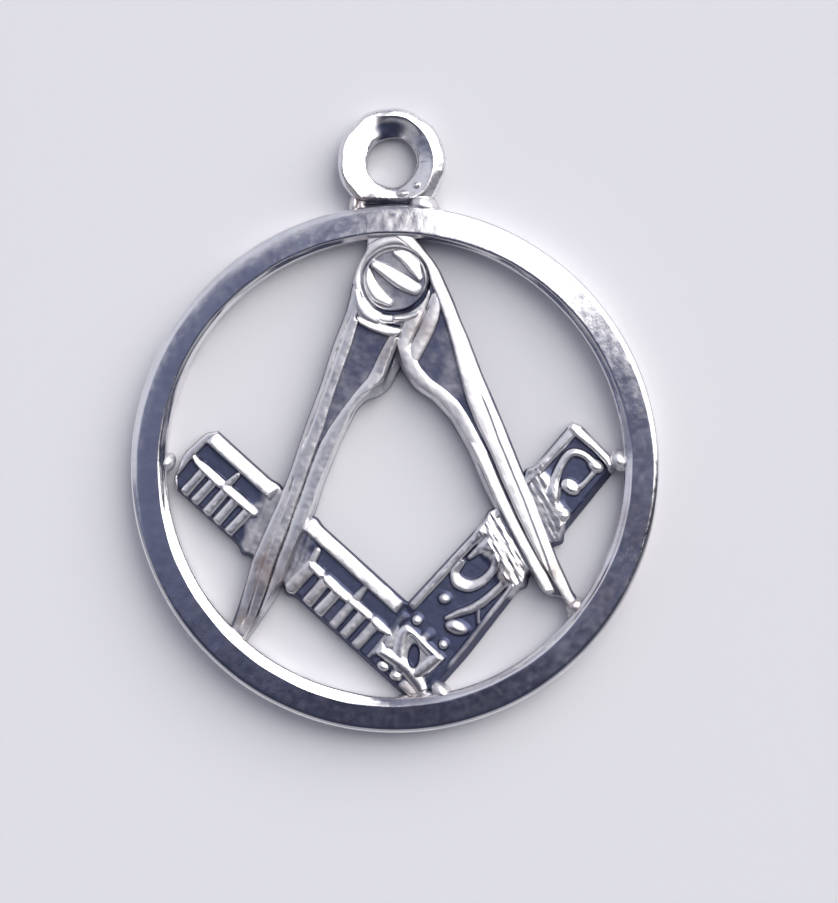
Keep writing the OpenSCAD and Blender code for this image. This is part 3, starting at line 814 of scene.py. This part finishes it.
def makeHead(o):
    # rows from the top of the head down to its lower end, columns from its left edge to its right edge
    down = np.linspace(0, 1, o["rows"])[:, None]
    share = crowded(o["cols"], 0.2)[None, :]
    topY, lowerStart, lowerStop = o["plan"][-1][0], o["lowerEnd"][0][0], o["lowerEnd"][-1][0]

    def lay(inset):
        # the grid's points, drawn in from the outline by the inset, and how low each column reaches
        across = lowerStart + inset + (lowerStop - lowerStart - 2 * inset) * share
        lowY = table(across, o["lowerEnd"], 1, 0.08) + inset
        y = topY + (lowY - topY) * down
        left, right = table(y, o["plan"], 1, 0.08) + inset, table(y, o["plan"], 2, 0.08) - inset
        low = smooth(down * 3 - 2)
        x = (left + (right - left) * share) * (1 - low) + across * low
        return x, y, lowY

    x, y, lowY = lay(o["draft"])
    footX, footY, _ = lay(0)
    z = headHeight(x, y)
    left = table(y, o["plan"], 1, 0.08) + o["draft"]
    onLobe = smooth((0.5 - x) / 0.2)
    z = z - edgeDrop(x - left, o["round"]) - edgeDrop(y - lowY, o["round"]) * onLobe
    # tarnish and painted shade darken what is sunk
    depth = np.clip((levels["compass"] - 0.09 - z) / 0.15, 0, 1)
    plate("compassHead", stacked(x, y, z), stacked(footX, footY), levels["back"], depth,
          stacked(x, y, 0), silvers["head"])


square = {
    "corner": (0.47, -6.5),     # where the two arms meet on the inside
    "outerCorner": (1.15, -11.96),
    "rule": {
        "turn": 137.3,          # the arm's direction, from the right, and on which side its outer edge is
        "side": 1,
        # edges: distance along, distance across
        "inner": [[-4.5, 0], [13.2, 0]],
        "outer": [[-4.5, 3.55], [13.2, 3.55]],
        "end": [[0, 12.5], [0.45, 12.9], [1.9, 13.05], [3.2, 12.6], [3.55, 12.05]],     # across, along
        "draft": (0.06, 0.14, 0.1),     # of the inner side, the outer side and the end
        # solder in the angles with the legs: place along, edge (0 inner, 1 outer), reach
        "webs": [(5.95, 0, 0.1), (8.5, 0, 0.1), (4.6, 1, 0.18), (7.55, 1, 0.18)],
    },
    "scroll": {
        "turn": 46.5,
        "side": -1,
        "inner": [[-3.6, 0.12], [9, 0.12], [12.2, 0]],
        "outer": [[-3.6, 4.2], [0.2, 4.1], [4.2, 3.75], [8, 3.45], [11.8, 3.2]],
        "end": [[0, 12.1], [0.45, 12.25], [2.5, 12.15], [3.2, 11.8]],
        "draft": (0.06, 0.28, 0.1),
        "webs": [(6.0, 0, 0.15), (8.75, 0, 0.2), (4.55, 1, 0.2), (7.35, 1, 0.25)],
    },
    "round": 0.12,
    "rows": 345,
    "cols": 106,
}


def armPlace(x, y, arm):
    # distance along an arm from the inner corner, and across it towards its outer side
    c, s = math.cos(math.radians(arm["turn"])), math.sin(math.radians(arm["turn"]))
    dx, dy = x - square["corner"][0], y - square["corner"][1]
    return dx * c + dy * s, arm["side"] * (dy * c - dx * s)


def armPoint(along, across, arm):
    # the point at those two distances
    c, s = math.cos(math.radians(arm["turn"])), math.sin(math.radians(arm["turn"]))
    across = arm["side"] * across
    return square["corner"][0] + along * c - across * s, square["corner"][1] + along * s + across * c


rule = {
    # upper border: stretches along the arm, its two edges, height
    "ridges": [(-0.15, 6.3), (8.2, 12.75)],
    "ridgeEdges": (-0.06, 0.84),
    "ridgeHeight": 0.34,
    # line above the bars, in dashes: path, half widths
    "dashes": [([[12.72, 1.64], [12.2, 1.8], [10.66, 1.82]], [0.12, 0.27, 0.29]),
               ([[10.3, 1.82], [9.8, 1.8], [8.45, 1.78]], [0.27, 0.28, 0.22]),
               ([[4.6, 1.78], [4.02, 1.8]], [0.24, 0.28]),
               ([[3.58, 1.8], [2.9, 1.84], [2.22, 1.8]], [0.28, 0.31, 0.28]),
               ([[1.98, 1.78], [0.84, 1.74]], [0.25, 0.24]),
               ([[0.5, 1.74], [0.1, 1.76], [-0.4, 1.72]], [0.25, 0.29, 0.18])],
    "dashHeight": 0.28,
    # border at the arm's end and posts above the dashes: path, half widths, height, crest
    "wires": [([[12.66, 0.1], [12.8, 0.94], [12.84, 1.98], [12.74, 3.1], [12.2, 3.6]],
               [0.26, 0.32, 0.33, 0.3, 0.24], 0.29, 0.65),
              ([[10.35, 1.6], [10.3, 0.95]], [0.22, 0.15], 0.21, 0),
              ([[4.75, 1.6], [4.88, 1.1]], [0.22, 0.2], 0.2, 0),
              ([[1.9, 1.6], [1.92, 0.84]], [0.26, 0.17], 0.21, 0),
              ([[-0.5, 1.5], [-0.45, 0.7]], [0.3, 0.26], 0.16, 0)],
    # bars: place along the arm, half width, height
    "bars": [(-0.6, 0.3, 0.2), (0.33, 0.3, 0.25), (1.15, 0.29, 0.25), (1.86, 0.28, 0.2), (2.8, 0.3, 0.25),
             (3.58, 0.32, 0.26), (4.6, 0.36, 0.24), (8.72, 0.28, 0.25), (9.54, 0.27, 0.24),
             (10.22, 0.27, 0.25), (10.97, 0.26, 0.24), (11.68, 0.26, 0.25)],
    "barReach": (1.95, 3.64),
    "barLean": 0.04,
}


def ruleRelief(s, n):
    # raised upper border, end border, dashes with posts above them and a comb of bars, over their ground
    o = rule
    low, high = o["ridgeEdges"]
    first, last = o["barReach"]
    bars = [([[place, first], [place + o["barLean"] * math.sin(place * 3), last]], [half, half], height)
            for place, half, height in o["bars"]]
    dashes = [(path, halves, o["dashHeight"]) for path, halves in o["dashes"]]
    relief = np.maximum.reduce([wires(s, n, o["wires"], 0.3, bent=False), wires(s, n, bars, 0.3, bent=False),
                                wires(s, n, dashes, 0.55, -0.7, bent=False)])
    for start, stop in o["ridges"]:
        ends = smooth((s - start) / 0.35) ** 0.5 * smooth((stop - s) / 0.35) ** 0.5
        relief = np.maximum(relief, o["ridgeHeight"] * ends * ridge(n, low, high, 0.6, 0.82))
    return levels["ground"] + relief


scroll = {
    # raised ribbons: points along and across, half widths from start to end, height, crest
    "ribbons": [
        ([[7.4, 3.05], [7.9, 2.6], [8.5, 1.98], [9.25, 1.4], [10.06, 1.06], [10.66, 0.97], [11.03, 1.14],
          [11.24, 1.56], [11.26, 2.05], [11.24, 2.37]], [0.26, 0.27, 0.27, 0.26, 0.25, 0.23, 0.22, 0.24],
         0.25, 0.3),
        ([[11.2, 2.46], [10.7, 2.5], [10.1, 2.5], [9.75, 2.4]], [0.18, 0.17, 0.17, 0.2], 0.2, 0),
        ([[0.72, 2.04], [1.3, 2.3], [1.84, 2.6], [2.43, 2.8], [3.13, 2.9], [3.71, 2.95], [4.4, 3.0]],
         [0.14, 0.22, 0.26, 0.26, 0.25, 0.24, 0.22], 0.24, 0),
        ([[2.2, 2.8], [1.9, 3.08], [1.62, 3.35]], [0.14, 0.14, 0.12], 0.17, 0),
        ([[3.3, 0.78], [2.68, 0.84], [2.44, 1.26], [2.6, 1.72], [3.0, 2.0], [3.5, 2.12], [4.1, 2.08],
          [4.6, 1.8]], [0.14, 0.24, 0.36, 0.34, 0.28, 0.24, 0.22, 0.2], 0.3, 0.65),
        ([[4.7, 1.2], [4.3, 0.94], [3.7, 0.84]], [0.24, 0.24, 0.16], 0.2, 0),
    ],
    # domed dots and the leaf: centre along and across, radii, turn, height
    "dots": [([-0.3, 1.05], [0.33, 0.31], 0, 0.3), ([1.4, 1.32], [0.38, 0.32], 40, 0.22),
             ([-0.3, 2.82], [0.31, 0.3], 0, 0.27), ([-0.48, 1.94], [0.38, 0.32], 20, 0.2),
             ([0.76, 2.75], [0.68, 0.4], 62, 0.31), ([8.43, 2.83], [0.35, 0.33], 0, 0.34),
             ([11.24, 2.34], [0.48, 0.36], 80, 0.31), ([9.63, 2.14], [0.56, 0.4], 84, 0.31)],
    # where each border starts: across the arm, by the distance along it, and along it, by that across
    "innerBorder": 0.04,
    "outerBorder": [[-1.5, 3.62], [0.4, 3.5], [2, 3.34], [4, 3.2], [8, 3.12], [11.4, 2.95]],
    "endBorder": [[0, 11.62], [0.6, 11.58], [1.6, 11.66], [2.6, 11.62], [3.3, 11.3]],
    # width, height, fullness and crest of each border
    "borders": {"inner": (0.62, 0.3, 0.42, 0.3), "outer": (1.0, 0.22, 0.4, -0.3),
                "end": (0.62, 0.36, 0.42, -0.6)},
}


def scrollRelief(s, n):
    # borders, ribbons and dots on a sunk ground
    o = scroll

    def border(name, t, low):
        wide, rise, fullness, crest = o["borders"][name]
        return rise * ridge(t, low, low + wide, fullness, crest)

    relief = np.maximum.reduce([border("inner", n, o["innerBorder"]) * smooth((s + 0.3) / 0.4),
                                border("outer", n, table(s, o["outerBorder"])),
                                border("end", s, table(n, o["endBorder"])),
                                wires(s, n, o["ribbons"], 0.5), beads(s, n, o["dots"], 0, 0.6)])
    return levels["ground"] + relief


ornament = {
    # ribbons round the oval hollow: points, half widths, height above the ground
    "ribbons": [
        ([[0.12, -9.9], [0.1, -9.4], [0.14, -8.9], [0.28, -8.25], [0.5, -7.98], [0.8, -7.9]],
         [0.3, 0.36, 0.38, 0.36, 0.34, 0.34], 0.24),
        ([[0.8, -7.9], [1.12, -8.1], [1.42, -8.5], [1.8, -9.02], [2.0, -9.26]],
         [0.34, 0.38, 0.42, 0.38, 0.3], 0.24),
        ([[2.2, -9.22], [1.7, -9.54], [1.24, -9.88], [0.95, -10.15]], [0.24, 0.34, 0.36, 0.28], 0.28),
        ([[-0.78, -9.0], [-0.15, -9.36], [0.5, -9.88], [1.0, -10.5], [1.2, -10.86]],
         [0.26, 0.34, 0.38, 0.4, 0.32], 0.27),
        ([[-1.6, -9.0], [-1.2, -8.9], [-0.8, -8.8]], [0.22, 0.26, 0.24], 0.18),
        ([[-0.4, -7.6], [-0.2, -8.1], [-0.35, -8.7]], [0.34, 0.4, 0.3], 0.15),
        ([[0.35, -10.7], [0.75, -11.05], [1.15, -11.2]], [0.34, 0.44, 0.38], 0.15),
    ],
    "dots": [([-0.06, -10.18], [0.36, 0.27], -25, 0.34), ([-0.69, -9.7], [0.36, 0.27], -35, 0.24),
             ([1.56, -8.12], [0.38, 0.34], -40, 0.28)],
    "eye": ([0.82, -9.24], [0.29, 0.62], -6, 0.32),     # the oval hollow: centre, radii, turn, depth
    "mound": (0.8, -9.2, 1.35, 1.2, 0.12),      # the swell round it: centre, radius, stretch, height
    "patch": (0.4, -9.2, 2.4),                  # where the ornament takes over: centre, radius
    "sunk": 0.05,               # how far the hollow may go below the ground
}

solderBeside = {
    # solder beside each leg, on the square: reach on its inner side, on its outer side, height, height
    # of its streaks, and how much it falls towards the leg for each mm, or half as much on the outer side
    "left": (0.7, 0.95, 0.905, 0.025, 0),
    "right": (1.3, 1.05, 1.06, 0.028, 0.1),
}


def squareHeight(x, y):
    # each arm's own relief on its side of the mitre, the corner ornament where they meet, and streaky
    # solder that covers the arms beside the legs
    s1, n1 = armPlace(x, y, square["rule"])
    s2, n2 = armPlace(x, y, square["scroll"])
    onRule = smooth((s1 - s2 + n2 - n1) / 0.5 + 0.5)
    z = ruleRelief(s1, n1) * onRule + scrollRelief(s2, n2) * (1 - onRule)
    px, py, reach = ornament["patch"]
    within = smooth((reach - np.hypot(x - px, y - py)) / 0.5)
    mx, my, radius, stretch, height = ornament["mound"]
    corner = np.maximum.reduce([height * back(np.hypot(x - mx, (y - my) / stretch) / radius, 0.4, 0),
                                wires(x, y, ornament["ribbons"], 0.34, -0.1),
                                beads(x, y, ornament["dots"], 45, 0.4)]) - bead(x, y, *ornament["eye"])
    cornerZ = levels["ground"] + np.maximum(corner, -ornament["sunk"])
    z = z + (cornerZ - z) * within * smooth((-s1 - 0.45) / 0.3) * smooth((-s2 - 0.6) / 0.4)
    for side, (innerReach, outerReach, height, depth, fall) in solderBeside.items():
        down, out = legPlace(x, y, legs[side])
        reach = np.where(out > 0, outerReach, innerReach) + 0.3 * castWaves(0.5 * out, down, 0.9, 3)
        streaks = castWaves(out, 0.1 * down, 0.36, 3) + 0.5 * castWaves(out, 0.25 * down, 0.2, 5)
        fill = 1 - smooth((legGap(x, y, legs[side]) - reach + 0.35) / 0.7)
        solderTop = height + depth * streaks * np.where(out < 0, 1, 0.45)
        solderTop = solderTop - fall * np.where(out < 0, out + 1.6, 0.5 * (1.8 - out))
        z = z + np.maximum(solderTop - z, 0) * fill
    return z + 0.008 * castWaves(x, y, 1.1, 3) + 0.004 * castWaves(x, y, 0.4, 6)


def makeSquare(o):
    # one grid from the rule arm's end to the corner and on to the scroll arm's end, with its rows across
    # the arms; the row at the corner runs along the mitre
    part = np.linspace(0, 1, o["rows"])[:, None]
    share = crowded(o["cols"], 0.15)[None, :]

    def lay(arm, inset):
        # distances along and across of the grid's points, drawn in from the outline by the inset, and how
        # far each one is from the sides
        inIn, inOut, inEnd = inset
        start, wide = armPlace(*o["outerCorner"], arm)
        startN = inIn + (wide - inIn - inOut) * share
        endN = inIn + (arm["end"][-1][0] - inIn - inOut) * share
        s = (1 - part) * startN / wide * start + part * (table(endN, arm["end"], 1, 0.12) - inEnd)
        low, high = table(s, arm["inner"]), table(s, arm["outer"])
        for place, which, reach in arm["webs"]:
            swell = reach * np.exp(-((s - place) / 0.3) ** 2)
            low, high = low - swell * (which == 0), high + swell * (which == 1)
        n = low + inIn + (high - low - inIn - inOut) * share
        return s, n, np.minimum(n - low - inIn, high - inOut - n)

    def grids(arm):
        s, n, edge = lay(arm, arm["draft"])
        edge = np.minimum(edge, table(n, arm["end"], 1, 0.12) - arm["draft"][2] - s)
        footS, footN, _ = lay(arm, (0, 0, 0))
        x, y = armPoint(s, n, arm)
        z = squareHeight(x, y) - edgeDrop(edge, o["round"])
        return stacked(x, y, z), stacked(*armPoint(footS, footN, arm)), stacked(n, 0.08 * s, 5 * arm["side"])

    top, foot, grain = [np.concatenate([onRule[::-1], onScroll[1:]])
                        for onRule, onScroll in zip(grids(o["rule"]), grids(o["scroll"]))]
    # tarnish and painted shade darken what is sunk
    depth = np.clip((levels["square"] - 0.03 - top[:, :, 2]) / 0.17, 0, 1)
    plate("square", top, foot, levels["back"], depth, grain, silvers["square"])


solder = {
    # centre, radii along and across, turn, top; the last four are on the loop and beside it
    "nubs": [([-11.22, 0.42], [0.52, 0.38], 60, 1.36), ([11.08, 0.3], [0.6, 0.44], -58, 1.4),
             ([0.3, -11.42], [0.42, 0.32], 0, 1.36), ([2.2, -11.0], [0.66, 0.42], -45, 1.4),
             ([8.8, -6.84], [0.48, 0.42], 30, 1.38), ([-7.74, -7.84], [0.42, 0.3], 60, 1.2),
             ([1.55, -11.3], [0.55, 0.4], 10, 1.1), ([8.9, -7.15], [0.5, 0.35], 30, 1.05),
             ([1.58, 13.02], [0.74, 0.52], -20, 1.48), ([-1.86, 13.1], [0.62, 0.26], 82, 1.4),
             ([0.58, 13.58], [0.45, 0.22], 4, 1.36), ([1.24, 14.0], [0.28, 0.2], 20, 1.31)],
    "lean": 0.21,               # how much their tops fall for each mm to the right, and for each mm up
    "foot": 0.2,                # height where they start
    "rows": 40,
    "cols": 60,
}


def makeSolder(o):
    # flattened balls: every point of a globe grid pushed out to its radii, between the foot and the top
    points, faces, rows, cols, foot = [], [], o["rows"], o["cols"], o["foot"]
    lat = np.linspace(-0.5, 0.5, rows + 2)[1:-1, None] * math.pi
    lon = np.linspace(0, 2 * math.pi, cols, endpoint=False)[None, :]
    i, j = np.arange(rows - 1)[:, None] * cols, np.arange(cols)[None, :]
    right = np.roll(j, -1)
    quads = stacked(i + j, i + right, i + cols + right, i + cols + j).reshape(-1, 4)
    # the two poles, which come after the grid's points, are joined to its first and its last row
    south, north, lastRow = rows * cols, rows * cols + 1, (rows - 1) * cols
    around = list(zip(range(cols), right[0].tolist()))
    caps = ([[south, second, first] for first, second in around]
            + [[north, first + lastRow, second + lastRow] for first, second in around])
    for count, ((cx, cy), (a, b), turn, top) in enumerate(o["nubs"]):
        c, s = math.cos(math.radians(turn)), math.sin(math.radians(turn))
        u, v = a * np.cos(lat) * np.cos(lon), b * np.cos(lat) * np.sin(lon)
        middle, half = (top + foot) / 2, (top - foot) / 2
        x, y, z = cx + u * c - v * s, cy + u * s + v * c, middle + half * np.sin(lat)
        z = z + 0.02 * castWaves(x, y, 0.8, 2) - o["lean"] * (x - cx + y - cy) * (z > middle)
        points += [stacked(x, y, z).reshape(-1, 3), [[cx, cy, foot], [cx, cy, top]]]
        first = count * (rows * cols + 2)
        faces += [[first + corner for corner in face] for face in quads.tolist() + caps]
    points = np.vstack(points)
    # painted shade: the lower part of each nub is darker and duller
    depth = np.clip((0.7 - points[:, 2]) / 0.8, 0, 1)
    makePiece("solderNubs", points, faces, depth, points, silvers["head"])


makeRing(ring)
makeLoop(loop)
makeNeck(neck)
makeSquare(square)
makeLeg("leftLeg", legs["left"])
makeLeg("rightLeg", legs["right"])
makeHead(head)
makeSolder(solder)


view = {
    "distance": 170,            # camera to its aim
    "frameHeight": 44.55,       # what the picture's height takes in at that distance
    "aim": (1.19, 0.84, 0.8),   # middle of the picture, from the ring's centre, and its height
    "tilt": 2.0,
    "roll": -0.635,
    "sensor": 24,
}


def makeCamera(o):
    # straight above its aim at first, then tilted and rolled; the lens takes in the frame height
    data = bpy.data.cameras.new("camera")
    camera = bpy.data.objects.new("camera", data)
    bpy.context.scene.collection.objects.link(camera)
    data.sensor_fit = "VERTICAL"
    data.sensor_height = o["sensor"]
    data.lens = o["sensor"] * o["distance"] / o["frameHeight"]
    data.clip_start = 0.01
    data.clip_end = 5
    roll = Matrix.Rotation(math.radians(o["roll"]), 3, "Z")
    turn = roll @ Matrix.Rotation(math.radians(o["tilt"]), 3, "X")
    target = (Vector(o["aim"]) + Vector((0, ringMiddle, 0))) * mm
    place = target + turn @ Vector((0, 0, o["distance"] * mm))
    camera.matrix_world = Matrix.Translation(place) @ turn.to_4x4()
    bpy.context.scene.camera = camera


makeCamera(view)

studio = {
    "floor": (0.80, 0.80, 0.83, 1),
    "floorRoughness": 0.7,
    "floorSize": 1.6,
    "overhead": (0.118, 0.132, 0.225, 1),
    "farSide": (0.032, 0.036, 0.066, 1),
    "farDirection": (0.34, 0.94),       # of the dark side: to the right and down the page
    "farEdge": (-0.05, 0.06),           # how far that way it starts and is full
    # soft panels: first and last azimuth, first and last angle off the vertical, softness of all those
    # edges but the third, all in degrees, then colour and strength
    "panels": [(5, 84, 11, 78, 7, (1.0, 0.98, 0.97, 1), 3.4),
               (96, 212, 20, 88, 24, (0.86, 0.88, 1.0, 1), 0.75),
               (-172, -16, 46, 88, 24, (0.9, 0.92, 1.0, 1), 0.42)],
    "upperSoft": 6,             # softness of the third edge
}


def makeStudio(o):
    # a floor, and a sky whose colour depends on the direction: dim overhead, dark on one side, and soft
    # panels that are smooth steps of the azimuth and of the angle off the vertical
    half = o["floorSize"] / 2
    mesh = bpy.data.meshes.new("floor")
    corners = [(-half, -half, 0), (half, -half, 0), (half, half, 0), (-half, half, 0)]
    mesh.from_pydata(corners, [], [(0, 1, 2, 3)])
    floor = bpy.data.objects.new("floor", mesh)
    bpy.context.scene.collection.objects.link(floor)
    material = bpy.data.materials.new("paleFloor")
    material.use_nodes = True
    shader = material.node_tree.nodes["Principled BSDF"]
    shader.inputs["Base Color"].default_value = o["floor"]
    shader.inputs["Roughness"].default_value = o["floorRoughness"]
    mesh.materials.append(material)
    world = bpy.data.worlds.new("studioSky")
    world.use_nodes = True
    tree = world.node_tree
    tree.nodes.clear()
    towards = node(tree, "ShaderNodeTexCoord").outputs["Generated"]
    axes = node(tree, "ShaderNodeSeparateXYZ", {0: towards}).outputs
    azimuth = maths(tree, "ARCTAN2", axes[1], axes[0])
    offVertical = maths(tree, "ARCCOSINE", axes[2])
    right, down = o["farDirection"]
    away = maths(tree, "SUBTRACT", maths(tree, "MULTIPLY", axes[0], right),
                 maths(tree, "MULTIPLY", axes[1], down))
    colour = mixed(tree, ranged(tree, away, *o["farEdge"], 0, 1), o["overhead"], o["farSide"])
    for first, last, high, low, soft, tint, strength in o["panels"]:
        lit = 1.0
        for angle, limit, wide, before in ((azimuth, first, soft, 0), (azimuth, last, soft, 1),
                                           (offVertical, high, o["upperSoft"], 0),
                                           (offVertical, low, soft, 1)):
            start, stop = math.radians(limit - wide / 2), math.radians(limit + wide / 2)
            lit = maths(tree, "MULTIPLY", lit, ranged(tree, angle, start, stop, before, 1 - before))
        colour = mixed(tree, lit, colour, [channel * strength for channel in tint[:3]] + [1])
    background = node(tree, "ShaderNodeBackground", {"Color": colour, "Strength": 1.0})
    node(tree, "ShaderNodeOutputWorld", {"Surface": background.outputs[0]})
    bpy.context.scene.world = world
    bpy.context.scene.view_settings.view_transform = "Standard"


makeStudio(studio)
print("studio made")
